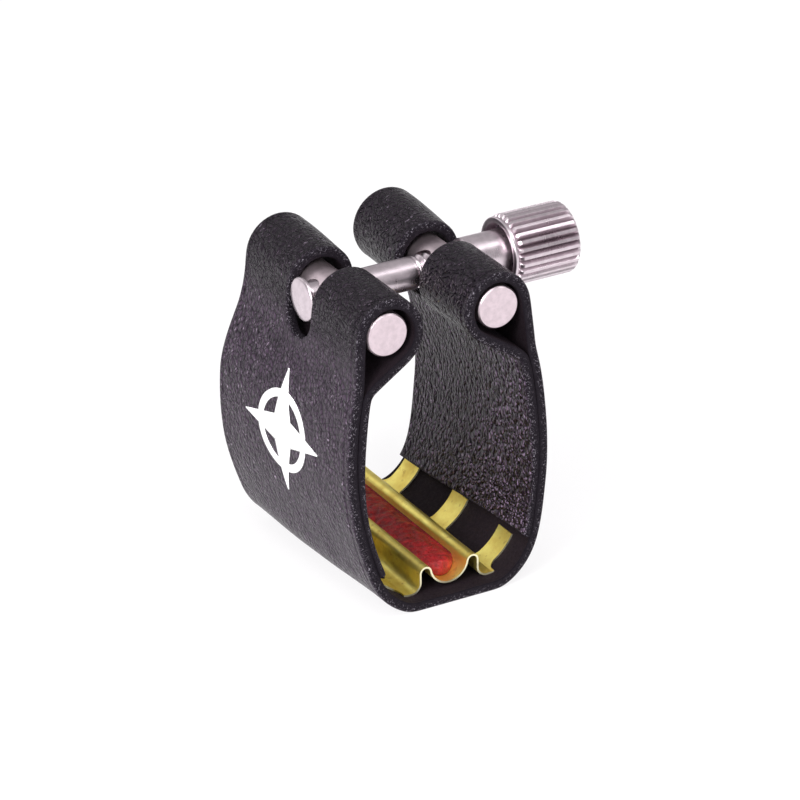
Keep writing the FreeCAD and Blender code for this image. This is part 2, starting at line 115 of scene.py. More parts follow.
class StrapLine:
    """Mid-thickness line of the strap's right half, from the middle of the flat underside up the
    wall, round the dowel and down the inside to the end of the lining."""

    def __init__(self):
        half = LEATHER / 2.0
        loop = (dowel_centre[0] - LOOP_INSET, dowel_centre[1])
        loop_mid = LOOP_BORE + half
        # Centres of the corner's and the wall's arcs, which run into each other.
        drop = math.sqrt(CORNER_RADIUS ** 2 - CORNER_HEIGHT ** 2)
        corner = (FLAT_HALF - drop, CORNER_HEIGHT)
        wall_x = STRAP_HALF_WIDTH - WALL_RADIUS
        rise = math.sqrt((WALL_RADIUS - CORNER_RADIUS) ** 2 - (corner[0] - wall_x) ** 2)
        wall = (wall_x, corner[1] + rise)
        blend = math.degrees(math.atan2(corner[1] - wall[1], corner[0] - wall[0]))

        # Outer layer: along the underside, round the corner, up the wall and on to the loop.
        corner_mid = CORNER_RADIUS - half
        flat_end = corner[0] + math.sqrt(corner_mid ** 2 - (corner[1] - half) ** 2)
        low = math.degrees(math.atan2(half - corner[1], flat_end - corner[0]))
        high = math.degrees(math.asin((WALL_TOP - wall[1]) / WALL_RADIUS))
        wall_mid = WALL_RADIUS - half
        wall_top = polar(wall, wall_mid, high)
        away = (wall_top[0] - loop[0], wall_top[1] - loop[1])
        reach = math.hypot(*away)
        leave = math.degrees(math.atan2(away[1], away[0]) + math.acos(loop_mid / reach))

        # Inner layer: straight off the loop, then one thickness inside the wall and the corner.
        lining_mid = wall_mid - LEATHER
        slant_start = polar(loop, loop_mid, SLANT)
        along = (-math.sin(math.radians(SLANT)), math.cos(math.radians(SLANT)))
        rel = (slant_start[0] - wall[0], slant_start[1] - wall[1])
        back = rel[0] * along[0] + rel[1] * along[1]
        step = -back + math.sqrt(back ** 2 + lining_mid ** 2 - rel[0] ** 2 - rel[1] ** 2)
        meet = (slant_start[0] + step * along[0], slant_start[1] + step * along[1])
        meet_angle = math.degrees(math.atan2(meet[1] - wall[1], meet[0] - wall[0]))
        foot_mid = corner_mid - LEATHER
        end_angle = math.degrees(math.asin((LINING_END - corner[1]) / foot_mid))

        line = np.vstack([
            run_points((0.0, half), (flat_end, half)),
            arc_points(corner, corner_mid, low, blend),
            arc_points(wall, wall_mid, blend, high),
            run_points(wall_top, polar(loop, loop_mid, leave)),
            arc_points(loop, loop_mid, leave, SLANT),
            run_points(slant_start, meet),
            arc_points(wall, lining_mid, meet_angle, blend),
            arc_points(corner, foot_mid, blend, end_angle),
            [polar(corner, foot_mid, end_angle)],
        ])
        self.soften(line)

    def soften(self, line):
        """Resample the line evenly and spread each sharp bend over BEND_SOFTNESS."""
        travelled = np.concatenate([[0.0], np.cumsum(np.hypot(*np.diff(line, axis=0).T))])
        length = travelled[-1]
        even = np.arange(0.0, length, FINE_STEP)
        points = np.stack([np.interp(even, travelled, line[:, k]) for k in (0, 1)], axis=1)
        margin = int(4 * BEND_SOFTNESS / FINE_STEP)
        before = points[1:margin + 1][::-1] * (-1.0, 1.0)
        heading = points[-1] - points[-2]
        after = points[-1] + heading * np.arange(1, margin + 1)[:, None]
        padded = np.vstack([before, points, after])
        reach = np.arange(-margin, margin + 1) * FINE_STEP
        kernel = np.exp(-0.5 * (reach / BEND_SOFTNESS) ** 2)
        kernel /= kernel.sum()
        smooth = np.stack([np.convolve(padded[:, k], kernel, mode="valid") for k in (0, 1)], axis=1)
        slope = np.gradient(smooth, axis=0)
        slope /= np.hypot(slope[:, 0], slope[:, 1])[:, None]
        self.at = even
        self.points = smooth
        self.normals = np.stack([slope[:, 1], -slope[:, 0]], axis=1)
        self.length = even[-1]

    def value(self, table, u):
        """Interpolated row of a table that runs along the strip."""
        return [float(np.interp(u, self.at, table[:, k])) for k in (0, 1)]

    def height(self, u):
        return self.value(self.points, u)[1]

    def where(self, z, last=False):
        """Distance along the strip where the line first, or last, crosses height z."""
        above = self.points[:, 1] > z
        crossings = np.nonzero(above[1:] != above[:-1])[0]
        return float(self.at[crossings[-1 if last else 0]])


strap_line = StrapLine()
loop_start = strap_line.where(dowel_centre[1])
loop_end = strap_line.where(SLOT_FLOOR, last=True)
slot_start = strap_line.where(SLOT_FLOOR)

# The slack strap follows the mouthpiece's cone: it is wider behind, and leans a little.
# Values by side are keyed -1 for the left and 1 for the right.
REAR_FLARE = {-1: 1.40, 1: 0.45}
FRONT_FLARE = {-1: 0.0, 1: -0.35}
LOOP_SLACK = {-1: 0.40, 1: 0.58}  # sideways play of the back loops on their dowels
LOOP_LIFT = 0.30                  # how far they are pulled up
FULLNESS = {-1: 0.55, 1: 0.0}     # how far the left corner bulges low down
REAR_DRAW = {-1: 0.0, 1: 1.0}     # how far the back rim is drawn forward round the corner
WAVINESS = 0.16                   # slow unevenness of soft leather
WAVE_RATE = (0.09, 0.11, 0.10)    # across, along the mouthpiece and up
WAVE_START = 3.7
SKIVED = 0.40                     # thickness pared off the lining towards its end
LINING_SLOPE = 1.80               # the lining is cut shorter in front
CUT_REACH = 6.0                   # length of lining over which that slope is taken up
SKIVED_DOWN = (22.0, 9.0)         # heights on the lining between which it is pared
skive_start, skive_end = (strap_line.where(z, last=True) for z in SKIVED_DOWN)

# Where each of these departures comes in or dies away: first and last place, in millimetres.
RIM_TO_RIM = (-15.0, 15.0)        # along the mouthpiece
CORNER_OUT = (1.0, 8.0)           # out from the middle
FRONT_UP = (5.0, 11.0)
BACK_UP = (3.0, 12.0)
HELD_UP = (19.0, 28.5)            # above this the dowels hold the strap in shape
LOOP_UP = (25.0, 30.0)
LOOP_BACK = (-2.0, 12.0)
BULGE_OUT = (1.0, 6.0)
BULGE_UP = (3.0, 10.0)
BULGE_FRONT = (-14.0, -2.0)
BULGE_BACK = (1.0, 12.0)
DRAW_OUT = (2.0, 7.0)
DRAW_UP = (5.0, 12.0)
CORNER_SHARE = 0.8                # share of the flare that the corner takes part in
STEADY_SWAY = 0.35                # share of the unevenness left at the dowels


def strap_point(side, u, v, w):
    """Place a point of the flat strip, u along it, v along the mouthpiece, w through it."""
    back = step_up(v, *RIM_TO_RIM)
    shortened = step_up(u, strap_line.length - CUT_REACH, strap_line.length)
    u -= LINING_SLOPE * (1.0 - back) * shortened
    x, z = strap_line.value(strap_line.points, u)
    nx, nz = strap_line.value(strap_line.normals, u)
    w -= SKIVED * step_up(u, skive_start, skive_end) * (w / LEATHER + 0.5)
    corner = CORNER_SHARE * step_up(x, *CORNER_OUT)
    free = corner * (1.0 - back) * step_up(z, *FRONT_UP)
    free += (corner + (1.0 - CORNER_SHARE) * step_up(z, *BACK_UP)) * back
    low = step_up(x, *BULGE_OUT) * (1.0 - step_up(z, *BULGE_UP))
    low *= step_up(v, *BULGE_FRONT) * (1.0 - step_up(v, *BULGE_BACK))
    held = 1.0 - step_up(z, *HELD_UP)
    flare = free * held * (FRONT_FLARE[side] * (1.0 - back) + REAR_FLARE[side] * back)
    rate_x, rate_v, rate_z = WAVE_RATE
    slow = noise.noise(Vector((side * x * rate_x + WAVE_START, v * rate_v, z * rate_z)))
    loose = STEADY_SWAY + (1.0 - STEADY_SWAY) * held
    sway = WAVINESS * slow * step_up(z, *BACK_UP) * loose
    hung = step_up(z, *LOOP_UP) * step_up(v, *LOOP_BACK)
    x += nx * w + flare + sway + low * FULLNESS[side]
    return Vector((side * x + hung * LOOP_SLACK[side], v, z + nz * w + hung * LOOP_LIFT))


def front_rim(u):
    z = max(strap_line.height(u), 0.0)
    return -(FRONT_AT_BASE - FRONT_SLOPE * z)


def back_rim(side, u):
    x, z = strap_line.value(strap_line.points, u)
    return BACK - REAR_DRAW[side] * step_up(x, *DRAW_OUT) * (1.0 - step_up(z, *DRAW_UP))


# Lengths of strip over which the look changes, as distances from the loop's two ends.
ROLL_IN = (-4.0, 0.0)
ROLL_OUT = (-1.0, 1.5)
LINING_IN = (-1.0, 2.0)


def step_near(u, place, reach):
    """Smooth 0 to 1 over a reach of strip given from one place on it."""
    return step_up(u, place + reach[0], place + reach[1])


class StripMesh:
    """Solid mesh of one half of the strap, laid out flat and folded by strap_point."""

    def __init__(self, side):
        self.side = side
        self.points = []
        self.flat = []
        self.finish = []
        self.faces = []

    def add(self, u, v, w, cut, flesh):
        self.points.append(strap_point(self.side, u, v, w) * MM)
        self.flat.append((u, v, w))
        loop = step_near(u, loop_start, ROLL_IN) * (1.0 - step_near(u, loop_end, ROLL_OUT))
        lining = step_near(u, loop_end, LINING_IN)
        self.finish.append((cut, flesh, loop, lining))
        return len(self.points) - 1


COLUMNS_SPAN = 12.0               # width that the number of columns is worked out from
# Distances of the closer columns from a rim and from the slot.
RIM_MARKS = (0.0, 0.25, 0.5, 0.68, 0.82, 0.95, 1.08, 1.25, 1.55)
SLOT_MARKS = (0.0, 0.2, 0.45)
SLOT_END_STEPS = 9
ROUND_STEPS = 4
EDGE_DYE = 0.15                   # how raw the cut edge already looks where its rounding starts


def spread(length, fine_start, fine_end):
    """Shares from 0 to 1 with the given fine distances kept at both ends."""
    middle = max(2, int(round((COLUMNS_SPAN - fine_start[-1] - fine_end[-1]) / COLUMN_STEP)))
    inner = np.linspace(fine_start[-1], length - fine_end[-1], middle + 1)[1:-1]
    marks = list(fine_start) + list(inner) + [length - d for d in reversed(fine_end)]
    return [m / length for m in marks]


def slot_rows():
    """Rows beside the slot: distance along, half width of the slot, and the way into it."""
    radius = SLOT_WIDTH / 2.0
    rows = []
    for k in range(SLOT_END_STEPS + 1):
        turn = math.pi / 2.0 * k / SLOT_END_STEPS
        rows.append((slot_start + radius * (1.0 - math.cos(turn)), radius * math.sin(turn),
                     (math.cos(turn), -math.sin(turn))))
    straight = loop_end - slot_start - 2.0 * radius
    count = int(straight / ROW_STEP)
    for k in range(1, count):
        rows.append((slot_start + radius + straight * k / count, radius, (0.0, -1.0)))
    for u, v, (du, dv) in reversed(rows[:SLOT_END_STEPS + 1]):
        rows.append((slot_start + loop_end - u, v, (-du, dv)))
    return rows


def build_strap_half(side, name):
    """One half of the strap, from the middle of the base to the lower end of the lining.

    Both faces are grids of rows across the strip. A row beside the slot stops at it."""
    mesh = StripMesh(side)
    slot = slot_rows()
    before = np.linspace(0.0, slot[0][0], int(slot[0][0] / ROW_STEP))[:-1]
    rest = int((strap_line.length - slot[-1][0]) / ROW_STEP)
    after = np.linspace(slot[-1][0], strap_line.length, rest)[1:]
    rows = [(u, None, None) for u in before] + slot + [(u, None, None) for u in after]
    first_slot = len(before)
    last_slot = first_slot + len(slot) - 1
    last = len(rows) - 1
    half = LEATHER / 2.0

    def rim(half_sign, u):
        return front_rim(u) if half_sign < 0 else back_rim(side, u)

    def stitch(lines, closed=False):
        """Faces between neighbouring lines of vertices."""
        following = lines[1:] + (lines[:1] if closed else [])
        for one, two in zip(lines, following):
            for k in range(len(one) - 1):
                mesh.faces.append((one[k], one[k + 1], two[k + 1], two[k]))

    def grid(w, inset, flesh):
        """One face of the leather: vertex numbers by half, row and column."""
        table = {}
        for i, (u, gap, way) in enumerate(rows):
            end_pull = inset if i == last else 0.0
            middle = None
            for h in (-1, 1):
                outer = (u - end_pull, rim(h, u) - h * inset)
                if gap is None:
                    inner = (u - end_pull, 0.0)
                else:
                    inner = (u - way[0] * inset, h * (gap - way[1] * inset))
                shares = spread(abs(outer[1] - inner[1]), RIM_MARKS, SLOT_MARKS)
                shared = gap is None or i in (first_slot, last_slot)
                row = []
                for k, share in enumerate(shares):
                    at_u = outer[0] + (inner[0] - outer[0]) * share
                    at_v = outer[1] + (inner[1] - outer[1]) * share
                    if k == len(shares) - 1 and shared and middle is not None:
                        row.append(middle)
                        continue
                    from_rim = abs(at_v - rim(h, u))
                    off = (from_rim - CREASE_INSET) / CREASE_WIDTH
                    depth = w - CREASE_DEPTH * math.exp(-off ** 2) if w > 0 else w
                    row.append(mesh.add(at_u, at_v, depth, 0.0, flesh))
                if shared:
                    middle = row[-1]
                table[h, i] = row
        for h in (-1, 1):
            stitch([table[h, i] for i in range(last + 1)])
        return table

    skin = grid(half, SKIN_ROUND, 0.0)
    under = grid(-half, FLESH_ROUND, 1.0)
    columns = len(skin[-1, 0])

    def profile(top, bottom, u, v, way):
        """Rounded cut edge from the grain side to the flesh side."""
        line = [top]
        for k in range(1, ROUND_STEPS + 1):
            turn = math.pi / 2.0 * (1.0 - k / ROUND_STEPS)
            inset = SKIN_ROUND * (1.0 - math.cos(turn))
            w = half - SKIN_ROUND * (1.0 - math.sin(turn))
            cut = min(1.0, EDGE_DYE + k / ROUND_STEPS)
            line.append(mesh.add(u - way[0] * inset, v - way[1] * inset, w, cut, 0.0))
        line.append(mesh.add(u, v, 0.0, 1.0, 0.2))
        for k in range(ROUND_STEPS):
            turn = math.pi / 2.0 * k / ROUND_STEPS
            inset = FLESH_ROUND * (1.0 - math.cos(turn))
            w = -half + FLESH_ROUND * (1.0 - math.sin(turn))
            line.append(mesh.add(u - way[0] * inset, v - way[1] * inset, w, 1.0, 0.5))
        line.append(bottom)
        return line

    def rim_profile(h, i, way):
        u = rows[i][0]
        return profile(skin[h, i][0], under[h, i][0], u, rim(h, u), way)

    # Outer cut edge: front rim, end of the lining, back rim.
    end_u = rows[last][0]
    edge = [rim_profile(-1, i, (0.0, -1.0)) for i in range(last)]
    edge.append(rim_profile(-1, last, (1.0, -1.0)))
    for h, order in ((-1, range(1, columns)), (1, range(columns - 2, 0, -1))):
        for k in order:
            v = mesh.flat[skin[h, last][k]][1]
            edge.append(profile(skin[h, last][k], under[h, last][k], end_u, v, (1.0, 0.0)))
    edge.append(rim_profile(1, last, (1.0, 1.0)))
    edge += [rim_profile(1, i, (0.0, 1.0)) for i in range(last - 1, -1, -1)]
    stitch(edge)

    # Cut edge round the slot.
    ring = []
    for h, order in ((-1, range(first_slot, last_slot + 1)),
                     (1, range(last_slot - 1, first_slot, -1))):
        for i in order:
            u, gap, way = rows[i]
            ring.append(profile(skin[h, i][-1], under[h, i][-1], u, h * gap, (way[0], h * way[1])))
    stitch(ring, closed=True)

    # The two halves of the strap meet in a plane under the middle.
    cap = skin[-1, 0] + skin[1, 0][-2::-1] + edge[-1][1:] + under[1, 0][1:] + under[-1, 0][-2::-1]
    cap += edge[0][-2:0:-1]
    mesh.faces.append(tuple(cap))
    return make_object(name, mesh.points, mesh.faces, mesh.flat, mesh.finish)


def make_object(name, points, faces, flat=None, finish=None):
    """Smooth-shaded mesh object with the attributes that its material reads."""
    data = bpy.data.meshes.new(name)
    data.from_pydata([tuple(p) for p in points], [], faces)
    data.validate()
    if flat is not None:
        layer = data.attributes.new("flat", "FLOAT_VECTOR", "POINT")
        layer.data.foreach_set("vector", np.array(flat, np.float32).ravel())
    if finish is not None:
        layer = data.attributes.new("finish", "FLOAT_COLOR", "POINT")
        layer.data.foreach_set("color", np.array(finish, np.float32).ravel())
    piece = bpy.data.objects.new(name, data)
    bpy.context.scene.collection.objects.link(piece)
    bpy.context.view_layer.objects.active = piece
    piece.select_set(True)
    bpy.ops.object.mode_set(mode="EDIT")
    bpy.ops.mesh.select_all(action="SELECT")
    bpy.ops.mesh.normals_make_consistent(inside=False)
    bpy.ops.object.mode_set(mode="OBJECT")
    piece.select_set(False)
    data.shade_smooth()
    return piece


def turned_point(x, radius, turn, axis_z):
    """A place round the screw's axis, in metres."""
    return Vector((x, radius * math.cos(turn), axis_z + radius * math.sin(turn))) * MM


def turned_faces(rings, around):
    """Faces between equal rings of vertices, with one face across each end."""
    faces = []
    for k in range(rings - 1):
        for a in range(around):
            b = (a + 1) % around
            faces.append((k * around + a, k * around + b,
                          (k + 1) * around + b, (k + 1) * around + a))
    faces.append(tuple(range(around)))
    faces.append(tuple((rings - 1) * around + a for a in range(around)))
    return faces


# ------------------------ material helpers
MIX_SOCKETS = {"FLOAT": (2, 3, 0), "VECTOR": (4, 5, 1), "RGBA": (6, 7, 2)}


class Finish:
    """Builds one material's node tree."""

    def __init__(self, name):
        self.material = bpy.data.materials.new(name)
        self.material.use_nodes = True
        self.tree = self.material.node_tree
        self.shader = self.tree.nodes["Principled BSDF"]

    def node(self, kind, inputs=None, **settings):
        made = self.tree.nodes.new("ShaderNode" + kind)
        for key, value in settings.items():
            setattr(made, key, value)
        self.feed(made, inputs or {})
        return made

    def feed(self, target, inputs):
        for key, value in inputs.items():
            socket = target.inputs[key]
            if isinstance(value, bpy.types.NodeSocket):
                self.tree.links.new(value, socket)
            else:
                socket.default_value = value

    def surface(self, **inputs):
        self.feed(self.shader, {key.replace("_", " "): value for key, value in inputs.items()})

    def math(self, operation, *values):
        return self.node("Math", dict(enumerate(values)), operation=operation).outputs[0]

    def blend(self, share, first, second, kind="RGBA"):
        """Mix node of one kind of value; its sockets are found by number."""
        made = self.node("Mix", {"Factor": share}, data_type=kind)
        first_socket, second_socket, result = MIX_SOCKETS[kind]
        self.feed(made, {first_socket: first, second_socket: second})
        return made.outputs[result]

    def moved(self, operation, vector, by):
        """Vector added to, or multiplied by, another."""
        return self.node("VectorMath", {0: vector, 1: by}, operation=operation).outputs[0]

    def ramp(self, value, low, high, start=0.0, end=1.0):
        made = self.node("MapRange", {"Value": value, "From Min": low, "From Max": high,
                                      "To Min": start, "To Max": end})
        return made.outputs[0]

    def noise(self, vector, scale, detail=3.0, roughness=0.55):
        made = self.node("TexNoise", {"Vector": vector, "Scale": scale, "Detail": detail,
                                      "Roughness": roughness})
        return made.outputs["Fac"]

    def bump(self, height, depth):
        inputs = {"Height": height, "Distance": depth * MM, "Strength": 1.0}
        return self.node("Bump", inputs).outputs[0]

    def attribute(self, name):
        return self.node("Attribute", attribute_name=name)


def rgb(red, green, blue):
    return (red, green, blue, 1.0)


# ------------------------ strap leather
# Texture scales are cells or waves to the millimetre along the flat strip.
GRAIN_SCALE, GRAIN_STRETCH = 2.2, (0.8, 1.0, 1.0)
LINING_SCALE, LINING_STRETCH = 2.1, (0.72, 1.0, 1.0)
CRACKLE_SCALE, CRACKLE_STRETCH = 1.7, (1.0, 0.55, 1.0)
DASH_SCALE, DASH_STRETCH = 2.6, (0.6, 1.25, 1.0)
GRAIN_DEPTH = 0.13       # relief of the skin, in millimetres for a height of one
LINING_RELIEF = 3.2      # the lining's grain is that much deeper
CRACKLE_RELIEF = 1.6     # the bent loops are crackled as well
FINE_RELIEF = 0.22       # small unevenness over all of it
TORN_DEPTH = 0.55        # relief of a raw cut edge
NAP_RELIEF = 0.25        # share of that for the suede side
# The groove and crease tones are painted shade in the hollows, the loop tones are painted shade on
# the bent loops, and the glint tones and the edge's speck tone are painted highlights.
LEATHER_TONES = {
    "groove": (0.004, 0.003, 0.005),
    "skin_dark": (0.038, 0.024, 0.041),
    "skin_light": (0.056, 0.037, 0.059),
    "painted_glint": (0.32, 0.26, 0.33),
    "loop_crease_shade": (0.001, 0.001, 0.002),
    "loop_shaded_skin": (0.006, 0.004, 0.007),
    "loop_painted_glint": (0.16, 0.13, 0.17),
    "lining_crease_shade": (0.001, 0.001, 0.001),
    "lining_skin": (0.010, 0.005, 0.012),
    "lining_painted_glint": (0.24, 0.17, 0.26),
    "edge": (0.003, 0.003, 0.005),
    "edge_painted_sparkle": (0.50, 0.46, 0.53),
    "suede_dark": (0.003, 0.002, 0.003),
    "suede_light": (0.010, 0.006, 0.007),
}
LEATHER_SPECULAR = 0.26
LEATHER_TINT = rgb(1.0, 0.78, 1.0)


def leather_material():
    """Black pebbled leather: grain side, suede flesh side and raw cut edge."""
    m = Finish("strap_leather")
    tone = {key: rgb(*value) for key, value in LEATHER_TONES.items()}
    flat = m.attribute("flat").outputs["Vector"]
    finish = m.attribute("finish")
    parts = m.node("SeparateColor", {"Color": finish.outputs["Color"]})
    cut, flesh, loop = (parts.outputs[k] for k in range(3))
    lining = finish.outputs["Alpha"]

    # Grain cells, pulled out of shape a little so that none repeats.
    warp = m.node("TexNoise", {"Vector": flat, "Scale": 0.8, "Detail": 1.0})
    shift = m.moved("SUBTRACT", warp.outputs["Color"], (0.5, 0.5, 0.5))
    pulled = m.node("VectorMath", {0: shift, "Scale": 1.1}, operation="SCALE").outputs[0]
    grain_at = m.moved("ADD", flat, pulled)

    def cells(stretch, scale, reach):
        """Rounded cells with a groove round each: 0 in the groove, 1 on the crown."""
        at = m.moved("MULTIPLY", grain_at, stretch)
        made = m.node("TexVoronoi", {"Vector": at, "Scale": scale}, feature="DISTANCE_TO_EDGE")
        return m.math("POWER", m.ramp(made.outputs["Distance"], 0.0, reach), 0.6)

    def domes(stretch, scale):
        """Domed pebbles that meet in sharp creases."""
        at = m.moved("MULTIPLY", grain_at, stretch)
        made = m.node("TexVoronoi", {"Vector": at, "Scale": scale}, feature="F1")
        return m.math("SUBTRACT", 1.0, m.math("POWER", made.outputs["Distance"], 1.6))

    pebbles = cells(GRAIN_STRETCH, GRAIN_SCALE, 0.30)
    creased = cells(LINING_STRETCH, LINING_SCALE, 0.20)
    crackle = cells(CRACKLE_STRETCH, CRACKLE_SCALE, 0.18)
    fine = m.noise(flat, 9.0, 3.0)
    patch = m.noise(flat, 0.30, 2.0)

    # The skin is more worked, with deeper grain, in patches and towards the back; there it also
    # carries more painted highlight flecks.
    along_axis = m.node("SeparateXYZ", {"Vector": flat}).outputs["Y"]
    wear_and_glint_share = m.math("MAXIMUM", m.ramp(patch, 0.42, 0.62), m.ramp(along_axis, 2.0, 10.0, 0.0, 1.6))
    outer = m.math("MULTIPLY", domes(GRAIN_STRETCH, GRAIN_SCALE),
                   m.ramp(wear_and_glint_share, 0.0, 1.0, 0.6, 1.6))
    inner = m.math("MULTIPLY", domes(LINING_STRETCH, LINING_SCALE), LINING_RELIEF)
    height = m.blend(lining, outer, inner, "FLOAT")
    rolled = m.math("MULTIPLY", m.math("MULTIPLY", crackle, loop), CRACKLE_RELIEF)
    grain = m.math("ADD", m.math("ADD", height, rolled), m.math("MULTIPLY", fine, FINE_RELIEF))

    fibres = m.noise(flat, 5.0, 6.0, 0.8)
    nap = m.noise(flat, 11.0, 4.0, 0.7)
    rough_side = m.math("MAXIMUM", cut, flesh)
    fibre_height = m.math("MULTIPLY", fibres, cut)
    nap_height = m.math("MULTIPLY", nap, m.math("MULTIPLY", flesh, NAP_RELIEF))
    torn = m.bump(m.math("ADD", fibre_height, nap_height), TORN_DEPTH)
    normal = m.blend(rough_side, m.bump(grain, GRAIN_DEPTH), torn, "VECTOR")

    # Colour: dyed black with a violet cast; painted shade darkens the hollows, and the bent loops
    # most, and painted highlights fleck the crowns.
    sparse = m.noise(m.moved("MULTIPLY", grain_at, DASH_STRETCH), DASH_SCALE, 2.0, 0.7)
    # Painted highlights on the pebble crowns.
    painted_glint = m.math("MULTIPLY", m.ramp(sparse, 0.59, 0.71), m.ramp(pebbles, 0.5, 1.0))
    skin = m.blend(m.ramp(patch, 0.3, 0.7), tone["skin_dark"], tone["skin_light"])
    # Painted shade: the grooves between the pebbles are darkened.
    skin = m.blend(m.ramp(pebbles, 0.25, 1.0), tone["groove"], skin)
    painted_flecks = m.math("MULTIPLY", painted_glint, m.ramp(wear_and_glint_share, 0.0, 1.0, 0.25, 1.0))
    skin = m.blend(painted_flecks, skin, tone["painted_glint"])
    # The bent loops are painted darker as shade, with painted shade in the crackle and painted
    # highlight flecks.
    shaded_loop_colour = m.blend(m.ramp(crackle, 0.2, 0.9), tone["loop_crease_shade"], tone["loop_shaded_skin"])
    loop_painted_flecks = m.math("MULTIPLY", painted_glint, m.ramp(patch, 0.48, 0.56))
    shaded_loop_colour = m.blend(loop_painted_flecks, shaded_loop_colour, tone["loop_painted_glint"])
    skin = m.blend(loop, skin, shaded_loop_colour)
    # The lining's crowns carry painted highlights, and its creases painted shade.
    crown = m.blend(m.ramp(sparse, 0.48, 0.62), tone["lining_skin"], tone["lining_painted_glint"])
    inside = m.blend(m.ramp(creased, 0.60, 1.0), tone["lining_crease_shade"], crown)
    skin = m.blend(lining, skin, inside)
    # Painted highlights sparkle on the grain-side half of the cut edge.
    edge_painted_sparkle = m.math("MULTIPLY", m.ramp(fibres, 0.55, 0.63), m.ramp(flesh, 0.0, 0.45, 1.0, 0.0))
    edge = m.blend(edge_painted_sparkle, tone["edge"], tone["edge_painted_sparkle"])
    suede = m.blend(m.ramp(nap, 0.3, 0.7), tone["suede_dark"], tone["suede_light"])
    colour = m.blend(flesh, skin, suede)
    colour = m.blend(cut, colour, edge)
    gloss = m.ramp(m.noise(flat, 3.0, 2.0), 0.3, 0.7, 0.24, 0.42)
    rough = m.math("ADD", gloss, m.math("MULTIPLY", rough_side, 0.4))
    m.surface(Base_Color=colour, Roughness=rough, Normal=normal)
    m.feed(m.shader, {"Specular IOR Level": LEATHER_SPECULAR, "Specular Tint": LEATHER_TINT,
                      "Sheen Weight": 0.0})
    return m.material


# ------------------------ metals
SCREW_TONE = (0.74, 0.645, 0.695)
DOWEL_TONE = (0.77, 0.645, 0.695)
# Knurl grooves are darkened by dirt and painted shade.
GROOVE_DIRT_AND_SHADE = rgb(0.32, 0.26, 0.29)
DULLED = 0.86            # brightness of the dull spots against the rest
PLATE_RELIEF = 0.006


def nickel_material(name, stretch, polish, tone):
    """Satin nickel plate; stretch draws its fine lines out round the piece's axis."""
    m = Finish(name)
    place = m.node("TexCoord").outputs["Object"]
    lines = m.noise(m.moved("MULTIPLY", place, stretch), 100.0, 3.0, 0.6)
    pits = m.noise(place, 1500.0, 3.0, 0.6)
    clouds = m.noise(place, 260.0, 2.0)
    rough = m.math("ADD", m.ramp(clouds, 0.3, 0.7, polish - 0.05, polish + 0.07),
                   m.math("MULTIPLY", lines, 0.06))
    dull = tuple(DULLED * c for c in tone)
    colour = m.blend(m.ramp(pits, 0.35, 0.62), rgb(*dull), rgb(*tone))
    # The first channel of finish marks the knurl's grooves, darkened by dirt and painted shade.
    groove = m.node("SeparateColor", {"Color": m.attribute("finish").outputs["Color"]}).outputs[0]
    colour = m.blend(m.math("POWER", groove, 1.5), colour, GROOVE_DIRT_AND_SHADE)
    height = m.math("ADD", m.math("MULTIPLY", lines, 0.5), m.math("MULTIPLY", pits, 0.5))
    m.surface(Base_Color=colour, Roughness=rough, Normal=m.bump(height, PLATE_RELIEF))
    m.feed(m.shader, {"Metallic": 1.0})
    return m.material


def brass_material():
    """Thin rolled brass sheet: dull yellow, with handling stains and fine rolling lines."""
    m = Finish("brass_plate")
    place = m.node("TexCoord").outputs["Object"]
    lines = m.noise(m.moved("MULTIPLY", place, (1.0, 0.06, 1.0)), 5200.0, 3.0, 0.6)
    stains = m.noise(place, 420.0, 4.0, 0.6)
    spots = m.noise(place, 1300.0, 3.0, 0.6)
    colour = m.blend(m.ramp(stains, 0.35, 0.7), rgb(0.98, 0.85, 0.24), rgb(0.82, 0.62, 0.14))
    colour = m.blend(m.ramp(spots, 0.60, 0.80), colour, rgb(0.55, 0.36, 0.09))
    # The sheared ends of the sheet, which face along the mouthpiece, get a painted highlight.
    facing = m.node("TexCoord").outputs["Normal"]
    ahead = m.node("SeparateXYZ", {"Vector": facing}).outputs["Y"]
    sheared_end_highlight = m.ramp(m.math("ABSOLUTE", ahead), 0.80, 0.95)
    colour = m.blend(sheared_end_highlight, colour, rgb(1.0, 0.95, 0.66))
    rough = m.ramp(stains, 0.3, 0.7, 0.36, 0.52)
    height = m.math("ADD", m.math("MULTIPLY", lines, 0.5), m.math("MULTIPLY", stains, 1.5))
    m.surface(Base_Color=colour, Roughness=rough, Normal=m.bump(height, 0.008))
    m.feed(m.shader, {"Metallic": 1.0})
    return m.material


def foil_material():
    """White printed foil: matt, with a slightly uneven face where it sits on the grain."""
    m = Finish("white_foil")
    flat = m.attribute("flat").outputs["Vector"]
    grain = m.node("TexVoronoi", {"Vector": flat, "Scale": 2.3}, feature="SMOOTH_F1").outputs[0]
    wear = m.noise(flat, 2.0, 4.0, 0.7)
    colour = m.blend(m.ramp(wear, 0.62, 0.8), rgb(0.93, 0.93, 0.93), rgb(0.80, 0.79, 0.80))
    rough = m.ramp(wear, 0.3, 0.7, 0.45, 0.60)
    m.surface(Base_Color=colour, Roughness=rough, Normal=m.bump(grain, 0.012))
    return m.material


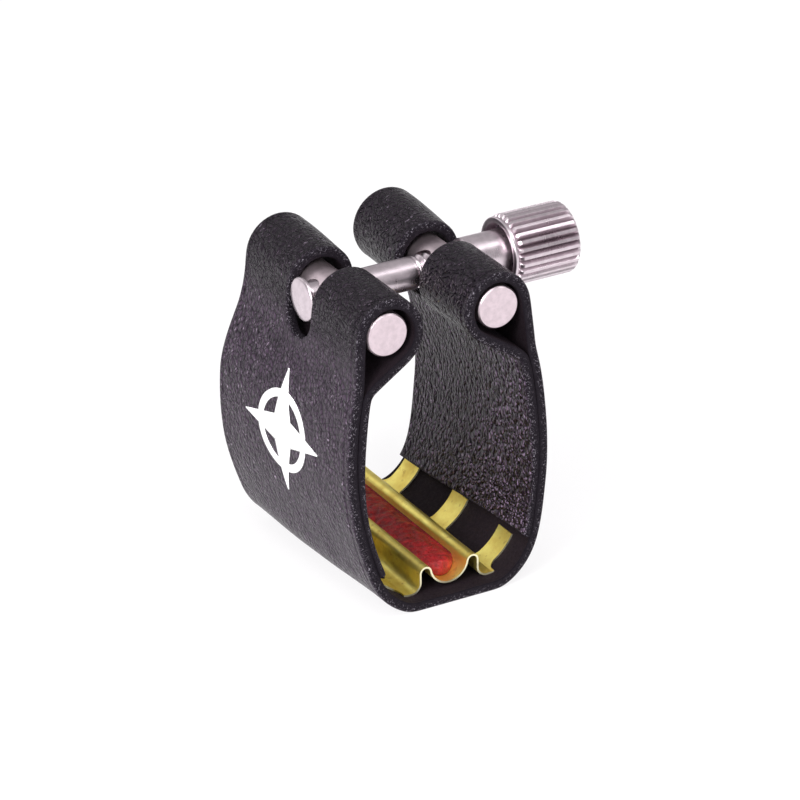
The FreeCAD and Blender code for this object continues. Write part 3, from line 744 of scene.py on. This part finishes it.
def cushion_material():
    """Bright red leather with soft lumps; painted shade darkens the hollows, and small painted
    highlights fleck it.
    """
    m = Finish("cushion_leather")
    flat = m.attribute("flat").outputs["Vector"]
    lumps = m.noise(flat, 1.5, 4.0, 0.6)
    fine = m.noise(flat, 8.0, 4.0, 0.65)
    height = m.math("ADD", lumps, m.math("MULTIPLY", fine, 0.22))
    # Painted shade in the hollows between the lumps, and small painted highlights on them.
    colour = m.blend(m.ramp(lumps, 0.36, 0.60), rgb(0.16, 0.005, 0.007), rgb(0.37, 0.014, 0.017))
    colour = m.blend(m.ramp(fine, 0.55, 0.75), colour, rgb(0.52, 0.026, 0.028))
    rough = m.ramp(fine, 0.3, 0.7, 0.30, 0.50)
    m.surface(Base_Color=colour, Roughness=rough, Normal=m.bump(height, 0.32))
    m.feed(m.shader, {"Specular IOR Level": 0.30})
    return m.material


def floor_material():
    """Pale floor that lights itself a little, so that the picture's ground stays white."""
    m = Finish("floor")
    place = m.node("TexCoord").outputs["Object"]
    tone = m.noise(place, 3.0, 1.0)
    m.surface(Base_Color=m.blend(tone, rgb(0.17, 0.17, 0.17), rgb(0.19, 0.19, 0.19)))
    m.feed(m.shader, {"Roughness": 0.9, "Specular IOR Level": 0.1,
                      "Emission Color": rgb(1.0, 0.99, 1.0), "Emission Strength": 0.82})
    return m.material


def dress(piece, material):
    piece.data.materials.clear()
    piece.data.materials.append(material)


# ------------------------ cushion strip
CROWN = 0.2              # rise of the middle above the long edges
CUSHION_ROUND = 0.55     # rounding of its upper edge
CUSHION_GAP = 0.015      # clearance over the brass
CUSHION_SETTLE = 0.06    # keeps the highest lumps inside the CAD strip
LUMPS = ((0.16, 0.9, 3.0), (0.09, 2.1, 7.0))  # height, waves to the millimetre, seed
EDGE_INSETS = (0.0, 0.01, 0.04, 0.09, 0.16, 0.25, 0.36, 0.5)
INNER_INSETS = (0.62, 0.05, 10)  # first, distance of the last from the middle, count
BED_RINGS = slice(7, None, 5)    # the flatter underside needs only some of the rings


def build_cushion():
    """Leather strip with rounded ends, bedded in the plate's valley and gently crowned."""
    low, high = box_mm("cushion_strip")
    half = (high.x - low.x) / 2.0
    middle = (high.y + low.y) / 2.0
    straight = (high.y - low.y) / 2.0 - half
    edge_top = high.z - CROWN
    depth = edge_top - low.z
    bed = (half ** 2 + depth ** 2) / (2.0 * depth)
    side_steps, end_steps = 110, 24
    around = 2 * (side_steps + end_steps)
    points, flat, faces = [], [], []

    def outline(radius):
        """Closed outline at one distance from the strip's middle line."""
        for k in range(side_steps):
            yield radius, straight * (2.0 * k / side_steps - 1.0)
        for k in range(end_steps):
            turn = math.pi * k / end_steps
            yield radius * math.cos(turn), straight + radius * math.sin(turn)
        for k in range(side_steps):
            yield -radius, straight * (1.0 - 2.0 * k / side_steps)
        for k in range(end_steps):
            turn = math.pi * (1.0 + k / end_steps)
            yield radius * math.cos(turn), -straight + radius * math.sin(turn)

    def add_ring(radius, upper):
        """One outline of vertices, on the crown or on the bed; returns its first number."""
        start = len(points)
        rounding = min((half - radius) / CUSHION_ROUND, 1.0)
        full = math.sqrt(1.0 - (1.0 - rounding) ** 2)
        for x, y in outline(radius):
            z = low.z + bed - math.sqrt(bed ** 2 - x ** 2) + CUSHION_GAP
            if upper:
                lumps = sum(rise * noise.noise(Vector((x * rate, y * rate, seed)))
                            for rise, rate, seed in LUMPS)
                top = edge_top + CROWN * (1.0 - (x / half) ** 2) + lumps - CUSHION_SETTLE
                z += (top - z) * full
            points.append(Vector((x, middle + y, z)) * MM)
            flat.append((x, y, z))
        return start

    def close(start):
        """Faces across the innermost outline, from one side to the other."""
        def across(k):
            return start + (2 * side_steps + end_steps - k) % around
        for k in range(-end_steps // 2, side_steps + end_steps // 2):
            corners = [start + k % around, start + (k + 1) % around, across(k + 1), across(k)]
            faces.append(tuple(dict.fromkeys(corners)))

    first, short, count = INNER_INSETS
    insets = list(EDGE_INSETS) + list(np.linspace(first, half - short, count))
    upper = [add_ring(half - inset, True) for inset in insets]
    lower = [add_ring(half - inset, False) for inset in insets[BED_RINGS]]
    rings = lower[::-1] + upper
    for one, two in zip(rings, rings[1:]):
        for k in range(around):
            after = (k + 1) % around
            faces.append((one + k, one + after, two + after, two + k))
    close(upper[-1])
    close(lower[-1])
    return make_object("reed_cushion", points, faces, flat)


# ------------------------ ornament on the left wall
FOIL_RISE = 0.07         # the print stands that much proud of the leather
FOIL_SUNK = 0.03         # and its underside lies that much below the face
STAR_WAIST = 1.45        # half width of the middle, where the arms start
STAR_TIP = 0.05          # half width of an arm's blunt end
RING_OUTER, RING_INNER = 4.5, 3.6
RING_GAP = 9.0           # degrees left free on each side of an arm


class FoilMesh:
    """Thin print that follows the left wall of the strap."""

    def __init__(self):
        self.points, self.flat, self.faces = [], [], []
        low, high = box_mm("wall_ornament")
        self.centre_y = (low.y + high.y) / 2.0
        self.centre_u = strap_line.where((low.z + high.z) / 2.0)
        self.tall = (high.z - low.z) / 2.0
        self.wide = (high.y - low.y) / 2.0

    def patch(self, outline_at, rows, columns):
        """A strip of the print: outline_at gives its place for two shares from 0 to 1."""
        start = len(self.points)
        for level in (LEATHER / 2.0 - FOIL_SUNK, LEATHER / 2.0 + FOIL_RISE):
            for r in range(rows + 1):
                for c in range(columns + 1):
                    across, up = outline_at(r / rows, c / columns)
                    u = self.centre_u + up
                    v = self.centre_y + across
                    self.points.append(strap_point(-1, u, v, level) * MM)
                    self.flat.append((u, v, level))
        span = columns + 1
        layer = (rows + 1) * span
        for r in range(rows):
            for c in range(columns):
                corner = start + r * span + c
                self.faces.append((corner, corner + span, corner + span + 1, corner + 1))
                upper = corner + layer
                self.faces.append((upper, upper + 1, upper + span + 1, upper + span))
        rim = [start + c for c in range(span)]
        rim += [start + r * span + columns for r in range(1, rows + 1)]
        rim += [start + rows * span + c for c in range(columns - 1, -1, -1)]
        rim += [start + r * span for r in range(rows - 1, 0, -1)]
        for one, two in zip(rim, rim[1:] + rim[:1]):
            self.faces.append((one, two, two + layer, one + layer))


def build_ornament():
    """A four-pointed star in a ring."""
    foil = FoilMesh()

    def arm(direction, reach):
        def place(along, across):
            r = STAR_WAIST + (reach - STAR_WAIST) * along
            s = (STAR_WAIST + (STAR_TIP - STAR_WAIST) * along) * (2.0 * across - 1.0)
            dy, dz = direction
            return (r * dy - s * dz, r * dz + s * dy)
        return place

    def core(a, b):
        return (STAR_WAIST * (2.0 * a - 1.0), STAR_WAIST * (2.0 * b - 1.0))

    def sector(start, end):
        def place(a, b):
            turn = math.radians(start + (end - start) * a)
            radius = RING_INNER + (RING_OUTER - RING_INNER) * b
            return (radius * math.cos(turn), radius * math.sin(turn))
        return place

    foil.patch(core, 8, 8)
    for direction, reach in (((1, 0), foil.wide), ((0, 1), foil.tall),
                             ((-1, 0), foil.wide), ((0, -1), foil.tall)):
        foil.patch(arm(direction, reach), 26, 6)
    for quarter in range(4):
        start = 90.0 * quarter
        foil.patch(sector(start + RING_GAP, start + 90.0 - RING_GAP), 30, 4)
    return make_object("foil_star", foil.points, foil.faces, foil.flat)


# ------------------------ bolt with its helical thread
BOLT_HEAD = 0.6          # thickness of the domed head
SHANK = 1.75             # radius
THREAD_START = 3.2       # place along X
PITCH = 0.8
THREAD_DEPTH = 0.42
THREAD_FADE = (-0.3, 0.5)  # about its start, where the groove deepens
GROOVE_SLOPE = 2.6       # the groove's flanks, in depths to a pitch
BOLT_LEAD = 0.5          # chamfer at the free end
RINGS_PER_PITCH = 14.0
BOLT_AROUND = 64


def build_bolt():
    """Domed disc head, smooth shank and a thread cut as one helical groove."""
    low, high = box_mm("bolt")
    face, end = low.x, high.x
    head = (high.z - low.z) / 2.0
    axis_z = (high.z + low.z) / 2.0
    seat = face + BOLT_HEAD
    fade_start, fade_end = (THREAD_START + d for d in THREAD_FADE)
    # Distance along the axis and radius, over the dome, round its rim and back to the shank.
    outline = [(face, 0.02), (face + 0.02, head * 0.35), (face + 0.06, head * 0.65),
               (face + 0.14, head - 0.22), (face + 0.20, head - 0.09),
               (face + 0.28, head - 0.02), (face + 0.36, head),
               (seat - 0.08, head), (seat - 0.03, head - 0.02), (seat, head - 0.07),
               (seat, SHANK + 0.15), (seat + 0.04, SHANK + 0.04), (seat + 0.12, SHANK)]
    along = [x for x, _ in outline] + list(np.linspace(seat + 0.5, THREAD_START - 0.4, 12))
    along += list(np.arange(fade_start, end, PITCH / RINGS_PER_PITCH)) + [end]
    points = []
    for k, x in enumerate(along):
        base = outline[k][1] if k < len(outline) else SHANK
        for a in range(BOLT_AROUND):
            turn = 2.0 * math.pi * a / BOLT_AROUND
            r = base
            if x > fade_start:
                wave = (x / PITCH - turn / (2.0 * math.pi)) % 1.0
                groove = max(0.0, 1.0 - abs(wave - 0.5) * GROOVE_SLOPE)
                fade = step_up(x, fade_start, fade_end)
                r = min(SHANK - THREAD_DEPTH * groove * fade,
                        SHANK - max(0.0, x - (end - BOLT_LEAD)))
            points.append(turned_point(x, r, turn, axis_z))
    return make_object("screw_bolt", points, turned_faces(len(along), BOLT_AROUND))


# ------------------------ knurled knob
TEETH, STEPS_PER_TOOTH = 28, 10
TOOTH_HEIGHT = 0.50
TOOTH_FLANKS = (0.92, 0.52)  # a tooth's foot and its flank's width, in half pitches
KNURL_START = 0.55       # length of the plain collar
COLLAR = 3.70            # its radius
BORE = 2.41              # radius of the hole for the sleeve
RECESS = 3.05            # radius of the recess round the sleeve's neck
CUP = 2.0                # radius of the hollow in the end face
KNOB_SHARP = 28.0        # degrees


def build_knob():
    """Cup-ended knob: a smooth collar, then straight teeth that start and end in chamfers."""
    low, high = box_mm("thumb_knob")
    axis_z = (high.z + low.z) / 2.0
    near, far = low.x, high.x
    crest = (high.z - low.z) / 2.0
    root = crest - TOOTH_HEIGHT
    knurl = near + KNURL_START
    around = TEETH * STEPS_PER_TOOTH
    # Distance along the axis and radius: the bore, the recess, then the collar.
    plain = [(far - 0.85, 0.03), (far - 0.85, CUP), (far - 2.2, CUP), (far - 2.2, BORE),
             (near + 1.6, BORE), (near + 1.6, RECESS - 0.12), (near + 1.5, RECESS),
             (near + 0.10, RECESS), (near + 0.02, RECESS + 0.06), (near, RECESS + 0.14),
             (near, COLLAR - 0.20), (near + 0.03, COLLAR - 0.09), (near + 0.10, COLLAR - 0.02),
             (near + 0.18, COLLAR), (knurl - 0.22, COLLAR), (knurl - 0.14, COLLAR - 0.03),
             (knurl - 0.06, COLLAR - 0.14), (knurl, root - 0.02)]
    # The knurl's rings hold the radius in a groove and the radius on a tooth.
    rings = [(x, r, r) for x, r in plain]
    rings += [(knurl + 0.40 * k, root, root + (crest - root) * math.sqrt(k))
              for k in (0.04, 0.2, 0.5, 0.8, 1.0)]
    rings += [(x, root, crest) for x in np.linspace(knurl + 0.9, far - 0.75, 12)]
    rings += [(far - 0.45, root, crest - 0.02), (far - 0.28, root, crest - 0.12),
              (far - 0.14, root, crest - 0.30), (far - 0.05, root - 0.02, root),
              (far - 0.01, root - 0.12, root - 0.10), (far, root - 0.25, root - 0.25),
              (far - 0.01, CUP, CUP), (far - 0.03, 0.03, 0.03)]
    foot, flank = TOOTH_FLANKS
    points, finish = [], []
    for x, valley, top in rings:
        for a in range(around):
            beside = abs((a % STEPS_PER_TOOTH) / STEPS_PER_TOOTH - 0.5) * 2.0
            tooth = min(max((foot - beside) / flank, 0.0), 1.0)
            r = valley + (top - valley) * tooth
            points.append(turned_point(x, r, 2.0 * math.pi * a / around, axis_z))
            # The first channel of finish is the groove share, which the material darkens as dirt
            # and painted shade.
            finish.append(((1.0 - tooth) if top - valley > 0.1 else 0.0, 0.0, 0.0, 0.0))
    knob = make_object("knurled_knob", points, turned_faces(len(rings), around), finish=finish)
    knob.data.set_sharp_from_angle(angle=math.radians(KNOB_SHARP))
    return knob


# ------------------------ pieces
STRAP_SHARP = 60.0       # degrees

leather = leather_material()
nickel_turned = nickel_material("nickel_screw", (60.0, 4.0, 4.0), 0.26, SCREW_TONE)
nickel_dowel = nickel_material("nickel_dowel", (4.0, 60.0, 4.0), 0.32, DOWEL_TONE)

for side, body, name in ((-1, "left_side", "strap_half_left"),
                         (1, "right_side", "strap_half_right")):
    half = build_strap_half(side, name)
    half.data.set_sharp_from_angle(angle=math.radians(STRAP_SHARP))
    dress(half, leather)
    cad_side = "strap_left" if side < 0 else "strap_right"
    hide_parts(cad_side, "strap_base")
    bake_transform(half)

cushion = build_cushion()
dress(cushion, cushion_material())
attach(cushion, "base")
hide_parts("cushion_strip")

ornament = build_ornament()
dress(ornament, foil_material())
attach(ornament, "left_side")
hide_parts("wall_ornament")

bolt = build_bolt()
dress(bolt, nickel_turned)
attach(bolt, "screw")
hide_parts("bolt")

knob = build_knob()
dress(knob, nickel_turned)
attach(knob, "thumb_nut")
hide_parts("thumb_knob")

brass = brass_material()
for node, material in (("left_dowel", nickel_dowel), ("right_dowel", nickel_dowel),
                       ("nut_sleeve", nickel_turned), ("reed_plate", brass)):
    dress(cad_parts[node], material)


# ------------------------ floor, light and camera
FLOOR_HALF = 6.0              # metres
TARGET = Vector((1.60, 0.0, 16.70)) * MM  # what the camera and every light look at
CAMERA_FROM = (-29.5, 26.2)   # azimuth and elevation, in degrees
CAMERA_DISTANCE = 0.5         # metres
CAMERA_ROLL = -0.5            # degrees
SENSOR, LENS = 36.0, 214.9    # width and focal length, in millimetres
WORLD_STRENGTH = 0.45
# Name, azimuth and elevation in degrees, distance and side in metres, power in watts.
SOFTBOXES = (
    ("key", -62.0, 30.0, 0.45, 0.16, 1.8),
    ("front", -8.0, 24.0, 0.50, 0.20, 0.9),
    ("rim", 70.0, 45.0, 0.55, 0.24, 0.6),
    ("top", -30.0, 72.0, 0.60, 0.34, 1.6),
    ("back", -156.0, 31.0, 0.60, 0.40, 0.3),
)


def add_floor():
    size = FLOOR_HALF
    corners = [(-size, -size, 0.0), (size, -size, 0.0), (size, size, 0.0), (-size, size, 0.0)]
    data = bpy.data.meshes.new("floor")
    data.from_pydata(corners, [], [(0, 1, 2, 3)])
    floor = bpy.data.objects.new("floor", data)
    bpy.context.scene.collection.objects.link(floor)
    dress(floor, floor_material())


def direction(azimuth, elevation):
    """Unit vector towards a place round the object; azimuth 0 is in front of it."""
    a, e = math.radians(azimuth), math.radians(elevation)
    return Vector((math.sin(a) * math.cos(e), -math.cos(a) * math.cos(e), math.sin(e)))


def add_softbox(name, azimuth, elevation, distance, side, power):
    data = bpy.data.lights.new(name, "AREA")
    data.shape = "RECTANGLE"
    data.size = data.size_y = side
    data.energy = power
    lamp = bpy.data.objects.new(name, data)
    lamp.location = TARGET + direction(azimuth, elevation) * distance
    lamp.rotation_mode = "QUATERNION"
    lamp.rotation_quaternion = direction(azimuth, elevation).to_track_quat("Z", "Y")
    bpy.context.scene.collection.objects.link(lamp)


def add_camera():
    data = bpy.data.cameras.new("camera")
    data.sensor_width = SENSOR
    data.lens = LENS
    data.clip_start, data.clip_end = 0.01, 20.0
    camera = bpy.data.objects.new("camera", data)
    view = direction(*CAMERA_FROM)
    camera.location = TARGET + view * CAMERA_DISTANCE
    camera.rotation_mode = "QUATERNION"
    level = (-view).to_track_quat("-Z", "Y")
    roll = Quaternion((0.0, 0.0, 1.0), math.radians(CAMERA_ROLL))
    camera.rotation_quaternion = level @ roll
    bpy.context.scene.collection.objects.link(camera)
    bpy.context.scene.camera = camera


def add_world():
    world = bpy.data.worlds.new("studio")
    world.use_nodes = True
    background = world.node_tree.nodes["Background"]
    background.inputs["Color"].default_value = rgb(1.0, 0.99, 1.0)
    background.inputs["Strength"].default_value = WORLD_STRENGTH
    bpy.context.scene.world = world
    bpy.context.scene.view_settings.view_transform = "Standard"


add_floor()
add_world()
for softbox in SOFTBOXES:
    add_softbox(*softbox)
add_camera()
